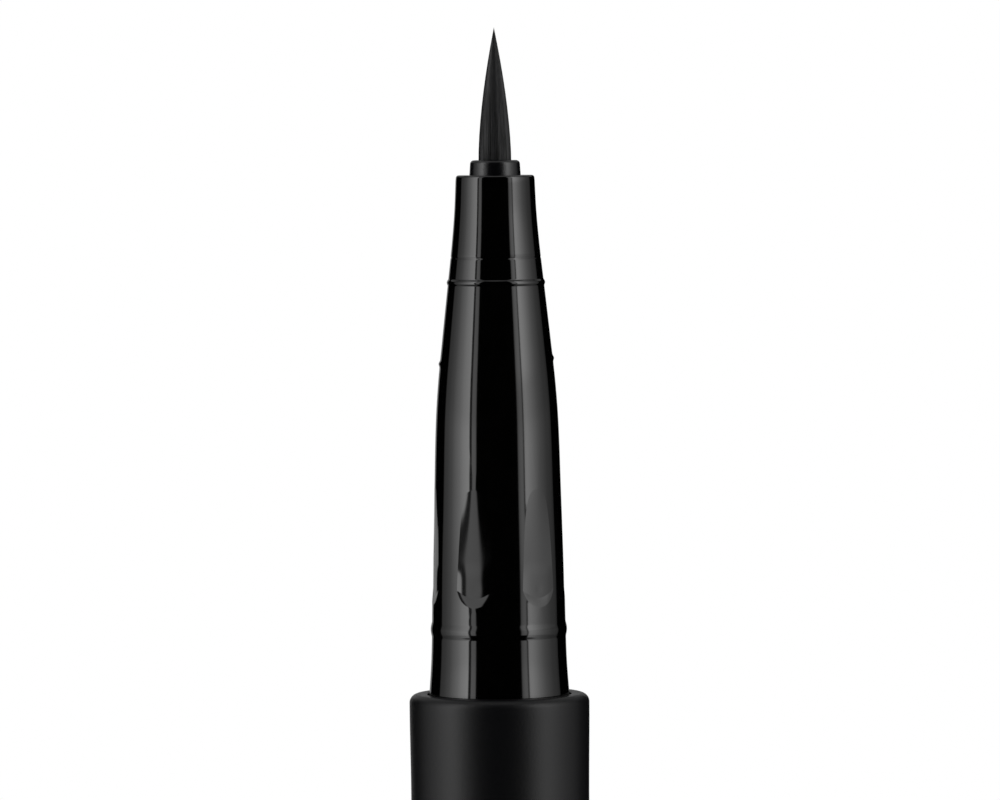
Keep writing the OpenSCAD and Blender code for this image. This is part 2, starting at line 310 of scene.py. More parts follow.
def make_filament_black():
    finish = Finish("filament_black")
    streaks = finish.noise(5200, detail=2.0, stretch=(1, 1, 0.03))
    # painted shade: a darker colour in the gaps between the tufts
    gap_shade = finish.add("ShaderNodeValToRGB", {"stops": [(0.4, 1), (0.54, 0)]}, {0: streaks})
    height = finish.add("ShaderNodeSeparateXYZ", None, {0: finish.place}).output("Z")
    up = (height - (RIM_Z + COLLAR_H) * MM) / (BRUSH_H * MM)
    # painted shade, deepest at the root and fading towards the tip; it darkens the base colour and
    # raises the roughness
    light = 1 - gap_shade * (1 - GAP_SHADE_FADE * up).math("MAXIMUM", GAP_SHADE_LEAST)
    flat_place = finish.add("ShaderNodeVectorMath", {"operation": "MULTIPLY"},
                            {0: finish.place, 1: (1, 1, 0)})
    outward = finish.add("ShaderNodeVectorMath", {"operation": "NORMALIZE"}, {0: flat_place})
    turned = {"vector_type": "NORMAL", "convert_from": "OBJECT", "convert_to": "WORLD"}
    outward = finish.add("ShaderNodeVectorTransform", turned, {"Vector": outward})
    own = finish.add("ShaderNodeNewGeometry", out="Normal")
    leaning = finish.add("ShaderNodeMix", {"data_type": "VECTOR"}, {0: LEAN, 4: own, 5: outward}, 1)
    normal = finish.add("ShaderNodeVectorMath", {"operation": "NORMALIZE"}, {0: leaning})
    return finish.skin(
        base_color=finish.between(light, (0.0004, 0.0004, 0.0005), (0.0075, 0.0075, 0.0085)),
        roughness=0.74 - 0.26 * light,
        normal=normal,
        specular_ior_level=0.37,
    )


filament_black = make_filament_black()
print("made", filament_black.name)

# %% [markdown]
# The inner pieces are uncoloured or soft mouldings, a bonded fibre rod and a steel ball.
# Nobody sees them in the portrait, but the part is kept for other uses, so each gets the
# grain that it has in the hand: flow clouds in the natural plastic, a powdery surface on the
# soft seal, lengthwise fibres in the wick and faint scuffs on the ball.


# %% Natural plastic and soft seal
def make_natural_plastic():
    finish = Finish("natural_plastic")
    clouds = finish.noise(500, detail=3.0)
    grain = finish.noise(6000, detail=1.0)
    return finish.skin(
        base_color=finish.between(clouds, (0.68, 0.68, 0.64), (0.8, 0.8, 0.77)),
        roughness=0.38 + 0.1 * clouds,
        normal=finish.bump(grain, 0.004 * MM),
        ior=1.49,
    )


def make_soft_seal():
    finish = Finish("soft_seal")
    powder = finish.noise(8000, detail=3.0)
    return finish.skin(
        base_color=finish.between(powder, (0.48, 0.53, 0.56), (0.6, 0.66, 0.68)),
        roughness=0.62 + 0.15 * powder,
        normal=finish.bump(powder, 0.008 * MM),
        ior=1.43,
    )


natural_plastic = make_natural_plastic()
soft_seal = make_soft_seal()
print("made", natural_plastic.name, soft_seal.name)


# %% Wick fibre and ball steel
def make_wick_fibre():
    finish = Finish("wick_fibre")
    fibres = finish.noise(9000, detail=3.0, stretch=(1, 1, 0.04))
    return finish.skin(
        base_color=finish.between(fibres, (0.6, 0.57, 0.5), (0.86, 0.84, 0.78)),
        roughness=0.85,
        normal=finish.bump(fibres, 0.02 * MM),
    )


def make_ball_steel():
    finish = Finish("ball_steel")
    scuffs = finish.noise(3000, detail=4.0, stretch=(1, 0.15, 1))
    return finish.skin(
        base_color=finish.between(scuffs, (0.56, 0.57, 0.58), (0.66, 0.67, 0.68)),
        roughness=0.1 + 0.12 * scuffs,
        metallic=1.0,
    )


wick_fibre = make_wick_fibre()
ball_steel = make_ball_steel()
print("made", wick_fibre.name, ball_steel.name)

# %% Dress the inner solids
INNER_FINISHES = {
    "tail_plug": plug_black,
    "inner_cap": natural_plastic,
    "collector": natural_plastic,
    "brush_retainer": natural_plastic,
    "tank_stopper": soft_seal,
    "relay_wick": wick_fibre,
    "mixing_ball": ball_steel,
}
for node_name, inner_finish in INNER_FINISHES.items():
    for material_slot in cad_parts[node_name].material_slots:
        material_slot.material = inner_finish
print("dressed", len(INNER_FINISHES), "inner solids")

# %% [markdown]
# Nearly every piece of a pen is turned about one axis. It starts as a closed outline of radius
# and height, whose round corners are arcs, and each point of the outline becomes a ring. A Screw
# modifier could turn it as well, but rings can also be bent and cut one by one, which the front
# section needs.


# %% Points, arcs and rings
def polar(angle, radius, height):
    """A point of a piece in metres, from an angle and two sizes in millimetres."""
    return radius * MM * math.cos(angle), radius * MM * math.sin(angle), height * MM


def arc(centre, radius, start, end, steps):
    """Points of an arc, in degrees, as radius and height."""
    angles = [math.radians(start + (end - start) * i / steps) for i in range(steps + 1)]
    return [(centre[0] + radius * math.cos(a), centre[1] + radius * math.sin(a)) for a in angles]


def ring_of(radius, height, around, start=0.0):
    """The points of a ring, or the one point that a ring on the axis comes down to."""
    if radius == 0:
        return [(0, 0, height * MM)]
    return [polar(start + 2 * math.pi * i / around, radius, height) for i in range(around)]


print("a ring of radius 1 mm starts at", ring_of(1, 0, 4)[0])

# %% [markdown]
# A skin of four-sided faces joins each ring to the next, and the last one to the first, so the
# piece is closed. Where a ring is one point on the axis, the faces there have three sides.
# Smooth shading hides the steps, and the edges that are real corners are marked sharp.


# %% Skins over rings
def mesh_of_rings(name, rings):
    """A closed skin over rings of points; the last ring joins the first."""
    bm = bmesh.new()
    rings = [[bm.verts.new(point) for point in ring] for ring in rings]
    around = max(len(ring) for ring in rings)
    for low, high in zip(rings, rings[1:] + rings[:1]):
        for step in range(around):
            after = (step + 1) % around
            corners = [low[step % len(low)], high[step % len(high)]]
            corners += [high[after % len(high)], low[after % len(low)]]
            corners = list(dict.fromkeys(corners))
            if len(corners) > 2:
                bm.faces.new(corners)
    bmesh.ops.recalc_face_normals(bm, faces=bm.faces)
    mesh = bpy.data.meshes.new(name)
    bm.to_mesh(mesh)
    bm.free()
    return mesh


def turned_mesh(name, outline, around):
    """A closed outline of radius and height, swept once round the axis."""
    return mesh_of_rings(name, [ring_of(r, z, around) for r, z in outline])


def shade(mesh, sharp_angle=35):
    """Smooth shading, but for the edges that are sharper than an angle in degrees."""
    mesh.shade_smooth()
    mesh.set_sharp_from_angle(angle=math.radians(sharp_angle))


print("skins are closed and shaded smooth")

# %% [markdown]
# A finished mesh goes into the scene at the origin, with its place in its own points.


# %% Place a piece
def place_piece(name, mesh, finish, slot, body, *solids):
    """Puts a mesh in the scene as a piece that rides on a body and stands for solids."""
    piece = bpy.data.objects.new(name, mesh)
    bpy.context.scene.collection.objects.link(piece)
    mesh.materials.clear()
    mesh.materials.append(finish)
    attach(piece, body)
    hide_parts(*solids)
    print(name, "has", len(mesh.polygons), "faces")


# %% [markdown]
# The barrel is a plain tube that swells by a twentieth of a millimetre at its mouth, where the
# front section is pressed in. Its rim has a broad round on the outside and a tight one on the
# inside, and that pair of rounds is what draws the soft bright lip in the photograph. A Bevel
# modifier would round both alike, so the rounds are arcs of the outline.

# %% Barrel
TAIL_EDGE = 0.15
SWELL_LEN = 6
SWELL_STEPS = 12
LIP_ROUND = 0.5
LIP_INNER_ROUND = 0.08
TUBE_AROUND = 192


def ease(share):
    """A share from 0 to 1 that starts and ends slowly."""
    share = max(0, min(1, share))
    return share * share * (3 - 2 * share)


barrel_outline = [(BORE_R, CAP_LEN), (BARREL_R - TAIL_EDGE, CAP_LEN)]
barrel_outline += [(BARREL_R, CAP_LEN + TAIL_EDGE), (BARREL_R, RIM_Z - SWELL_LEN)]
for i in range(1, SWELL_STEPS):
    share = i / SWELL_STEPS
    swell_z = RIM_Z - SWELL_LEN + (SWELL_LEN - LIP_ROUND) * share
    barrel_outline.append((BARREL_R + (MOUTH_R - BARREL_R) * ease(share), swell_z))
lip_centre = (MOUTH_R - LIP_ROUND, RIM_Z - LIP_ROUND)
inner_centre = (BORE_R + LIP_INNER_ROUND, RIM_Z - LIP_INNER_ROUND)
barrel_outline += arc(lip_centre, LIP_ROUND, 0, 90, steps=14)
barrel_outline += arc(inner_centre, LIP_INNER_ROUND, 90, 180, steps=5)
barrel_mesh = turned_mesh("barrel_tube", barrel_outline, TUBE_AROUND)
shade(barrel_mesh)
place_piece("barrel_tube", barrel_mesh, satin_black, "satin_black", "pen", "barrel")

# %% [markdown]
# The cap is posted on the tail, flush with the barrel. It has a rounded closed end, a plain
# bore for the tail's spigot, and a short cone and relief at its mouth that lead the pen in. Its
# solid could be kept, but the steps round it would show where it meets the barrel.

# %% Cap
CAP_EDGE = 0.6
CAP_END = 2
CAP_MOUTH_R = 4.035
CAP_BORE_R = 3.927
RELIEF_LEN = 1.2
RELIEF_CONE = 0.8

cap_outline = [(0, 0)] + arc((BARREL_R - CAP_EDGE, CAP_EDGE), CAP_EDGE, -90, 0, steps=12)
cap_outline += [(BARREL_R, CAP_LEN - TAIL_EDGE), (BARREL_R - TAIL_EDGE, CAP_LEN)]
cap_outline += [(CAP_MOUTH_R, CAP_LEN), (CAP_MOUTH_R, CAP_LEN - RELIEF_LEN)]
cap_outline += [(CAP_BORE_R, CAP_LEN - RELIEF_LEN - RELIEF_CONE)]
cap_outline += [(CAP_BORE_R, CAP_END), (0, CAP_END)]
cap_mesh = turned_mesh("cap_cover", cap_outline, TUBE_AROUND)
shade(cap_mesh)
place_piece("cap_cover", cap_mesh, satin_black, "satin_black", "cap", "cap_shell")

# %% [markdown]
# The front section's outside is one long curve, fast at the foot and slow towards the tip. The
# table gives its shares of height and of width, and a smooth curve through them gives any
# height between. Two beads stand on it: a broad one that snaps into the cap and a fine one
# that the inner cap seals on. The mould also left a hairline groove and two small nubs where
# its halves meet. A bead is given by its height, half its length and its rise.

# %% Outline of the front section
TIP_R = 2.25
BEAD_POWER = 1.5
REAR_BEAD = (3.72, 0.46, 0.07)
FRONT_BEAD = (23.55, 0.2, 0.07)
HAIRLINE = (24.96, 0.08, -0.019)
OUTLINE_SHARES = [
    (0, 1), (0.06, 0.932), (0.11, 0.904), (0.24, 0.862), (0.38, 0.786), (0.52, 0.717),
    (0.6, 0.629), (0.68, 0.49), (0.78, 0.306), (0.86, 0.157), (0.93, 0.055), (1, 0),
]


def slope_at(i):
    """Slope of the curve at a row of the table."""
    a, b = max(i - 1, 0), min(i + 1, len(OUTLINE_SHARES) - 1)
    rise = OUTLINE_SHARES[b][1] - OUTLINE_SHARES[a][1]
    return rise / (OUTLINE_SHARES[b][0] - OUTLINE_SHARES[a][0])


def smooth_r(h):
    """Radius of the front section at a height above the rim, without its beads."""
    x = h / NOZZLE_H
    i = max([k for k in range(len(OUTLINE_SHARES) - 1) if k == 0 or OUTLINE_SHARES[k][0] <= x])
    (x0, y0), (x1, y1) = OUTLINE_SHARES[i], OUTLINE_SHARES[i + 1]
    w = x1 - x0
    u = (x - x0) / w
    share = (2 * u**3 - 3 * u**2 + 1) * y0 + (u**3 - 2 * u**2 + u) * w * slope_at(i)
    share += (3 * u**2 - 2 * u**3) * y1 + (u**3 - u**2) * w * slope_at(i + 1)
    return TIP_R + (FOOT_R - TIP_R) * share


def swelling(h, at, half, rise):
    """How far a bead, or a groove where the rise is negative, stands out at a height."""
    return rise * max(0, 1 - ((h - at) / half) ** 2) ** BEAD_POWER


def skin_r(h):
    """Radius of the front section at a height above the rim, with its beads."""
    beads = swelling(h, *REAR_BEAD) + swelling(h, *FRONT_BEAD)
    return smooth_r(h) + beads + swelling(h, *HAIRLINE)


print("radius at foot, middle and tip:", [round(skin_r(NOZZLE_H * i / 2), 2) for i in range(3)])

# %% [markdown]
# Six vent flats let air past the bead when the cap goes on. Each is a shallow facet with a
# slight crown. The crown grows upwards until it is as round as the skin, and there the facet
# runs out. Below, the facet ends in a spoon-shaped ramp, the crescent in the photograph: it lies
# between the curve where the facet ends and a rounder curve where the ramp comes out on the skin.
# Six boolean cuts could make them, but they leave slivers that break a gloss up. So the flats
# are worked out, and the points are put where they cut the skin. A place on a flat is s across
# from its middle and h above the rim.

# %% Sizes of a vent flat
FLAT_COUNT = 6
FLAT_TURN = math.radians(8.4)
FLAT_TOP_H = 11.85
FLAT_END_H = 5.66
FLAT_SINK = 0.124
RUN_OUT_POWER = 1.1
CROWN_W = 0.8
CROWN_LEAST = 0.082
CROWN_MOST = 0.24
CROWN_GROWTH = 0.0075
CROWN_GROWS_H = 7.15
ROLL_S = 0.5
ROLL_MOST = 0.062
ROLL_LIFT = 0.3
ROLL_FADE_H = 6.7
ROLL_FADE_LEN = 1.2
DIMPLE_H = 6.15
DIMPLE_DEPTH = 0.009
DIMPLE_HALF_W = 0.15
DIMPLE_HALF_LEN = 0.3
HORN_RISE = 0.4
FOOT_H = 5.13
FOOT_CURVE = 0.5
FOOT_HORN = 0.2
print("flats from %.2f to %.2f mm above the rim" % (FOOT_H, FLAT_TOP_H))

# %% [markdown]
# The facet is described by how far it lies from the pen's axis: the skin's own radius, less its
# sink, its crown, the roll of its sides and a faint sink mark. It starts from the skin's radius
# and not from a plane, so it follows the long curve of the front section.


# %% Shape of a facet
def crown(s, h):
    """How far the facet falls away at s across from its middle."""
    bend = min(CROWN_MOST, CROWN_LEAST + CROWN_GROWTH * max(0, h - CROWN_GROWS_H) ** 2)
    return bend * CROWN_W**2 * (math.sqrt(1 + (s / CROWN_W) ** 2) - 1)


def edge_roll(h):
    """How strongly the facet's sides roll off, which they only do just above the ramp."""
    return ROLL_MOST * (1 - ease((h - ROLL_FADE_H) / ROLL_FADE_LEN))


def dimple(s, h):
    """The small sink mark in the middle of a facet."""
    across, along = s / DIMPLE_HALF_W, (h - DIMPLE_H) / DIMPLE_HALF_LEN
    return DIMPLE_DEPTH * math.exp(-(across**2) - along**2)


def facet_only(s, h):
    """Distance of the facet from the axis, as if it had no ends."""
    run = max(0, (h - FLAT_END_H) / (FLAT_TOP_H - FLAT_END_H))
    sink = FLAT_SINK * max(0, 1 - run * run) ** RUN_OUT_POWER - ROLL_LIFT * edge_roll(h)
    roll = edge_roll(h) * max(0, abs(s) - ROLL_S) ** 2
    return smooth_r(h) - sink - crown(s, h) - roll - dimple(s, h)


lip_depth = smooth_r(FLAT_END_H) - facet_only(0, FLAT_END_H)
print("a facet is %.2f mm deep at its lower end" % lip_depth)

# %% [markdown]
# The skin is round, so beside the facet's middle it falls back, and its distance there is less
# than its radius. Where the facet or its ramp lies inside the skin, the skin is cut away. The
# ramp is a straight slope from the facet's end to the curve where it comes out on the skin.


# %% Where a flat cuts the skin
def flat_end(s):
    """Height at which the facet ends and the ramp starts."""
    return FLAT_END_H + HORN_RISE * s * s


def ramp_foot(s):
    """Height at which the ramp comes out on the skin."""
    return FOOT_H + FOOT_CURVE * s * s + FOOT_HORN * s**6


def skin_distance(s, h):
    """Distance of the skin from the axis, measured square to the facet."""
    return math.sqrt(skin_r(h) ** 2 - s * s)


def is_cut(s, h):
    """Whether the facet or its ramp takes skin away at a place."""
    if h < flat_end(s):
        return h > ramp_foot(s)
    return h < FLAT_TOP_H and facet_only(s, h) < skin_distance(s, h)


def facet_distance(s, h):
    """Distance of the facet or its ramp from the pen's axis, where the skin is cut."""
    end = flat_end(s)
    if h >= end:
        return facet_only(s, h)
    foot = ramp_foot(s)
    share = (end - h) / (end - foot)
    return facet_only(s, end) * (1 - share) + skin_distance(s, foot) * share


print("a ramp is %.2f mm long in its middle" % (flat_end(0) - ramp_foot(0)))

# %% [markdown]
# The edge of a flat has no formula of its own. It is found by halving: the span that holds it
# is cut in two, and the half with the edge in it is kept, until the span is far under a micron.

# %% Width of a flat
WIDEST_HALF = 1.6
HALVINGS = 26


def half_width(h, bend=0.0):
    """Half the width of the flat on a row.

    A bent row stands bend * s * s higher at s across from the middle."""
    low, high = 0.0, WIDEST_HALF
    for _ in range(HALVINGS):
        s = (low + high) / 2
        if is_cut(s, h + bend * s * s):
            low = s
        else:
            high = s
    return low


for shown_h in (5.2, 5.8, 7.9, 9.9, 11.6):
    print("flat at %.1f mm: half width %.2f mm" % (shown_h, half_width(shown_h)))

# %% [markdown]
# A row of the front section has 192 points. In each sixth, thirteen stand across the flat, the
# first and the last of them on its two edges, and nineteen stand on the plain skin. Round the
# ramp the rows bend, so that one row follows the line where the facet ends. Above and below
# the flats the points spread until they are even.

# %% Columns of the front section
FLAT_SPANS = 12
SKIN_SPANS = 20
SECTOR_SPANS = FLAT_SPANS + SKIN_SPANS
AROUND = FLAT_COUNT * SECTOR_SPANS
SECTOR = 2 * math.pi / FLAT_COUNT
EVEN_HALF = SECTOR * FLAT_SPANS / SECTOR_SPANS / 2
LEAST_HALF = math.radians(1.2)
SPREAD_ABOVE = 5
SPREAD_BELOW = 1.4
ROW_BEND = 1.1


def plain_half(h):
    """Half the angle that the thirteen points take up where there is no flat."""
    beyond = max(0, (h - FLAT_TOP_H) / SPREAD_ABOVE, (FOOT_H - h) / SPREAD_BELOW)
    return LEAST_HALF + (EVEN_HALF - LEAST_HALF) * ease(beyond)


def sector_row(h):
    """Points of a sixth of a row, as angle, radius and height, from the flat's first edge on."""
    bend = HORN_RISE * max(0, 1 - abs(h - FLAT_END_H) / ROW_BEND)
    edge = max(half_width(h, bend), skin_r(max(h, 0)) * math.sin(plain_half(h)))
    points = []
    for i in range(FLAT_SPANS + 1):
        s = edge * (2 * i / FLAT_SPANS - 1)
        up = h + bend * s * s
        out = skin_distance(s, max(up, 0))
        if is_cut(s, up):
            out = facet_distance(s, up)
        points.append((math.atan2(s, out), math.hypot(s, out), up))
    half = points[-1][0]
    for i in range(1, SKIN_SPANS):
        share = i / SKIN_SPANS
        up = h + bend * edge * edge * (1 - 2 * min(share, 1 - share)) ** 2
        points.append((half + (SECTOR - 2 * half) * share, skin_r(max(up, 0)), up))
    return points


print("a row has", AROUND, "points")

# %% [markdown]
# The rows stand closest where the skin turns fastest: on the beads, on the ramp and at the nubs.
# The table gives the height from which each spacing holds.

# %% Rows of the front section
ROW_STEPS = [
    (-0.6, 0.16), (3.1, 0.035), (4.3, 0.06), (5.0, 0.03), (FLAT_END_H, 0.045), (6.8, 0.12),
    (11.0, 0.05), (12.0, 0.16), (18.5, 0.06), (19.6, 0.16), (23.3, 0.025), (23.8, 0.1),
    (24.88, 0.016), (25.04, 0.16), (29.49, 0),
]
NUBS = [(0.0, 19.2), (math.pi, 18.9)]
NUB_RISE = 0.07
NUB_HALF_TURN = math.radians(9)
NUB_HALF_H = 0.13


def nub_rise(angle, h):
    """How far the two nubs, given by their angle and height, stand out at a place."""
    rise = 0
    for at_angle, at_h in NUBS:
        across = math.remainder(angle - at_angle, 2 * math.pi) / NUB_HALF_TURN
        rise += NUB_RISE * math.exp(-(across**2) - ((h - at_h) / NUB_HALF_H) ** 2)
    return rise


def skin_ring(h):
    """All points of a row, once round, with the nubs."""
    ring = []
    for sector in range(FLAT_COUNT):
        for angle, radius, up in sector_row(h):
            angle += FLAT_TURN + SECTOR * sector
            ring.append(polar(angle, radius + nub_rise(angle, up), RIM_Z + up))
    return ring


def fine_rows(low, high, step):
    """Heights from low up to just under high, about a step apart."""
    count = max(1, round((high - low) / step))
    return [low + (high - low) * i / count for i in range(count)]


rows = []
for (low_h, row_step), (high_h, _) in zip(ROW_STEPS, ROW_STEPS[1:]):
    rows += fine_rows(low_h, high_h, row_step)
print(len(rows), "rows of", AROUND, "points")

# %% [markdown]
# The rows are closed by plain rings: the seat that is pressed into the barrel, the rounded tip,
# and the stepped bore for the collector and the collar. The moulded corners of the flats are
# then marked sharp: their two edges, and the line where each facet turns into its ramp.

# %% Sizes of the seat, the tip and the bore
SEAT_H = -9.0
SEAT_TOP_H = -0.62
SEAT_CHAMFER = 0.3
NOZZLE_WALL = 0.63
NOZZLE_EDGE = 0.16
COLLECTOR_TOP_H = 13.0
FUNNEL_LEN = 4.0
SHOULDER_H = 21.5
COLLAR_R = 1.465

seat_r = BORE_R - PRESS_GAP
bore_r = smooth_r(COLLECTOR_TOP_H) - NOZZLE_WALL
chamber_r = smooth_r(SHOULDER_H) - NOZZLE_WALL
tip_bore_r = COLLAR_R + PRESS_GAP
seat_points = [(bore_r, SEAT_H), (seat_r - SEAT_CHAMFER, SEAT_H)]
seat_points += [(seat_r, SEAT_H + SEAT_CHAMFER), (seat_r, SEAT_TOP_H)]
tip_points = arc((TIP_R - NOZZLE_EDGE, NOZZLE_H - NOZZLE_EDGE), NOZZLE_EDGE, 0, 90, steps=8)
bore_points = [(tip_bore_r, NOZZLE_H), (tip_bore_r, SHOULDER_H), (chamber_r, SHOULDER_H)]
bore_points += [(chamber_r, COLLECTOR_TOP_H + FUNNEL_LEN), (bore_r, COLLECTOR_TOP_H)]
print("bore %.2f mm, chamber %.2f mm in radius" % (bore_r, chamber_r))

# %% Front section
LEAST_SHARP_HALF = 0.12
first_angle = FLAT_TURN - EVEN_HALF


def plain_rings(points):
    """Rings whose points stand in the columns of the rows."""
    return [ring_of(r, h + RIM_Z, AROUND, first_angle) for r, h in points]


def mark_flat_edges(mesh, first_row):
    """Sharp edges round the facets, found by the row and column of their two points."""
    for mesh_edge in mesh.edges:
        (row_a, a), (row_b, b) = sorted(divmod(v, AROUND) for v in mesh_edge.vertices)
        if not first_row <= row_a < first_row + len(rows):
            continue
        h = rows[row_a - first_row]
        a, b = a % SECTOR_SPANS, b % SECTOR_SPANS
        upright = row_a != row_b and a == b
        along_side = upright and a in (0, FLAT_SPANS) and half_width(h) > LEAST_SHARP_HALF
        along_end = row_a == row_b and h == FLAT_END_H and max(a, b) <= FLAT_SPANS
        if along_side or along_end:
            mesh_edge.use_edge_sharp = True


front_rings = plain_rings(seat_points) + [skin_ring(h) for h in rows]
front_rings += plain_rings(tip_points + bore_points)
front_mesh = mesh_of_rings("front_section", front_rings)
shade(front_mesh)
mark_flat_edges(front_mesh, len(seat_points))
place_piece("front_section", front_mesh, gloss_black, "gloss_black", "pen", "nozzle")

# %% [markdown]
# The small collar that stands out of the tip holds the brush. It tapers a little and has a
# round shoulder, so that it shows two soft lights and a dark middle. A cylinder with a bevel
# would show the same, but the outline also holds the flange that is hidden in the front section.

# %% Brush collar
COLLAR_ROUND = 0.22
COLLAR_TAPER = 0.04
COLLAR_AROUND = 128
FLANGE_T = 1.0
ROOT_LEN = 5.2
ROOT_FLANGE = 0.16
ROOT_FLANGE_T = 0.8

flange_r = chamber_r - PRESS_GAP
flange_foot_h = SHOULDER_H - FLANGE_T
root_flange_r = BRUSH_R + ROOT_FLANGE
root_top_h = COLLAR_H - ROOT_LEN + ROOT_FLANGE_T
step_r = root_flange_r + PRESS_GAP
hole_r = BRUSH_R + PRESS_GAP
round_centre = (COLLAR_R - COLLAR_TAPER - COLLAR_ROUND, COLLAR_H - COLLAR_ROUND)
collar_outline = [(step_r, flange_foot_h), (flange_r, flange_foot_h), (flange_r, SHOULDER_H)]
collar_outline += [(COLLAR_R, SHOULDER_H), (COLLAR_R, NOZZLE_H)]
collar_outline += arc(round_centre, COLLAR_ROUND, 0, 90, steps=10)
collar_outline += [(hole_r, COLLAR_H), (hole_r, root_top_h), (step_r, root_top_h)]
collar_outline = [(r, h + RIM_Z) for r, h in collar_outline]
collar_mesh = turned_mesh("brush_collar", collar_outline, COLLAR_AROUND)
shade(collar_mesh)
place_piece("brush_collar", collar_mesh, collar_black, "collar_black", "pen", "brush_holder")

# %% [markdown]
# The brush is a bundle of tapering filaments, welded together at their root. Every filament
# keeps its share of the bundle's width while the bundle draws in, so none crosses another.
# Hair particles could draw it, but they are no mesh. The bundle follows a rule, so a geometry
# tree makes it: points on a seed-head spiral, a straight line stood on each, and one formula
# that moves every point of every line. The lines end at slightly different heights, which gives
# the tip its fine point.

# %% Geometry tree of the brush
BUNDLE_INSET = 0.012
ROOT_DROP = 0.12
BRUSH_SIZES = {
    "Filaments": ("NodeSocketInt", 1300),
    "Points a filament": ("NodeSocketInt", 10),
    "Bundle radius": ("NodeSocketFloat", (BRUSH_R - BUNDLE_INSET) * MM),
    "Bundle length": ("NodeSocketFloat", BRUSH_H * MM),
    "Foot height": ("NodeSocketFloat", (RIM_Z + COLLAR_H) * MM),
    "Sunk length": ("NodeSocketFloat", 0.35 * MM),
    "Filament radius": ("NodeSocketFloat", 0.0215 * MM),
    "Shortest share": ("NodeSocketFloat", 0.9),
    "Root length": ("NodeSocketFloat", ROOT_LEN * MM),
    "Root flange radius": ("NodeSocketFloat", root_flange_r * MM),
    "Root flange height": ("NodeSocketFloat", ROOT_FLANGE_T * MM),
    "Seed": ("NodeSocketInt", 7),
}


def open_tree(name, sizes):
    """An empty tree that takes the named sizes."""
    tree = bpy.data.node_groups.new(name, "GeometryNodeTree")
    tree.interface.new_socket("Geometry", in_out="INPUT", socket_type="NodeSocketGeometry")
    for label, (kind, value) in sizes.items():
        socket = tree.interface.new_socket(label, in_out="INPUT", socket_type=kind)
        socket.default_value = value
    tree.interface.new_socket("Geometry", in_out="OUTPUT", socket_type="NodeSocketGeometry")
    return tree


brush_tree = open_tree("brush_filaments", BRUSH_SIZES)
print("brush tree takes", len(BRUSH_SIZES), "sizes")


# %% Points of the bundle and the lines on them
GOLDEN_TURN = math.radians(137.508)


def stand_lines(g, size):
    """Lines of unit height that stand on a seed-head spiral of unit radius."""
    index = g.add("GeometryNodeInputIndex")
    turn = index * GOLDEN_TURN
    out = ((index + 0.5) / size("Filaments")) ** 0.5
    spot = g.add("ShaderNodeCombineXYZ", None,
                 {0: out * turn.math("COSINE"), 1: out * turn.math("SINE")})
    points = g.add("GeometryNodePoints", None, {"Count": size("Filaments"), "Position": spot})
    line = g.add("GeometryNodeCurvePrimitiveLine", None, {"End": (0, 0, 1)})
    line = g.add("GeometryNodeResampleCurve", None,
                 {"Curve": line, "Count": size("Points a filament")})
    stood = g.add("GeometryNodeInstanceOnPoints", None, {"Points": points, "Instance": line})
    return g.add("GeometryNodeRealizeInstances", None, {"Geometry": stood})


print("lines stand %.1f degrees apart" % math.degrees(GOLDEN_TURN))

# %% [markdown]
# The bundle's width falls off by a power of the height, which gives the brush its long belly and
# its point. Two waves of turning, of seven and of seventeen clumps, push neighbouring filaments
# together, strongest at the root, as ink does. A filament thins with the bundle and towards its
# own end.

# %% Draw the bundle in to a point
POINT_POWER = 1.65
CLUMPS = [(7, 0.9, 0.028), (17, 2.2, 0.016)]
THIN_LEAST = 0.16
END_THINNING = 0.6
END_POWER = 6


def draw_in(g, size, lines):
    """Moves every point by the brush's own outline, and sets how thick a filament is there."""
    place = g.add("ShaderNodeSeparateXYZ", None, {0: g.add("GeometryNodeInputPosition")})
    x, y, up = place, place.output("Y"), place.output("Z")
    spot = g.add("ShaderNodeCombineXYZ", None, {0: x, 1: y})
    chance = g.add("ShaderNodeTexWhiteNoise", {"noise_dimensions": "4D"},
                   {"Vector": spot, "W": size("Seed")}, out="Value")
    end = 1 - (1 - size("Shortest share")) * chance
    sunk = size("Sunk length") / size("Bundle length")
    share = up * (end + sunk) - sunk
    width = 1 - share.math("MAXIMUM", 0.0) ** POINT_POWER
    around = y.math("ARCTAN2", x)
    waves = [(around * count + shift).math("SINE") * push for count, shift, push in CLUMPS]
    clump = (waves[0] + waves[1]) * (1 - share).math("MAXIMUM", 0.0)
    reach = width * size("Bundle radius")
    moved_x = (x - y * clump) * reach
    moved_y = (y + x * clump) * reach
    height = size("Foot height") + share * size("Bundle length")
    target = g.add("ShaderNodeCombineXYZ", None, {0: moved_x, 1: moved_y, 2: height})
    thinning = 1 - END_THINNING * up**END_POWER
    thick = size("Filament radius") * width.math("MAXIMUM", THIN_LEAST) * thinning
    lines = g.add("GeometryNodeSetCurveRadius", None, {"Curve": lines, "Radius": thick})
    return g.add("GeometryNodeSetPosition", None, {"Geometry": lines, "Position": target})


print("the bundle clings in", [count for count, _, _ in CLUMPS], "clumps")

# %% [markdown]
# Inside the collar the filaments are welded into a solid root with a flange at its foot, which
# keeps the brush from being pulled out. The tree joins it to the filaments, which have four
# sides each, because a shape that is repeated so often has to stay light.

# %% Grow the brush
ROOT_AROUND = 64
FILAMENT_SIDES = 4


def root_disc(g, radius, low, length):
    """A solid disc that stands on a height."""
    disc = g.add("GeometryNodeMeshCylinder", {"fill_type": "TRIANGLE_FAN"},
                 {"Vertices": ROOT_AROUND, "Radius": radius, "Depth": length})
    lift = g.add("ShaderNodeCombineXYZ", None, {2: low + length * 0.5})
    return g.add("GeometryNodeTransform", None, {"Geometry": disc, "Translation": lift})


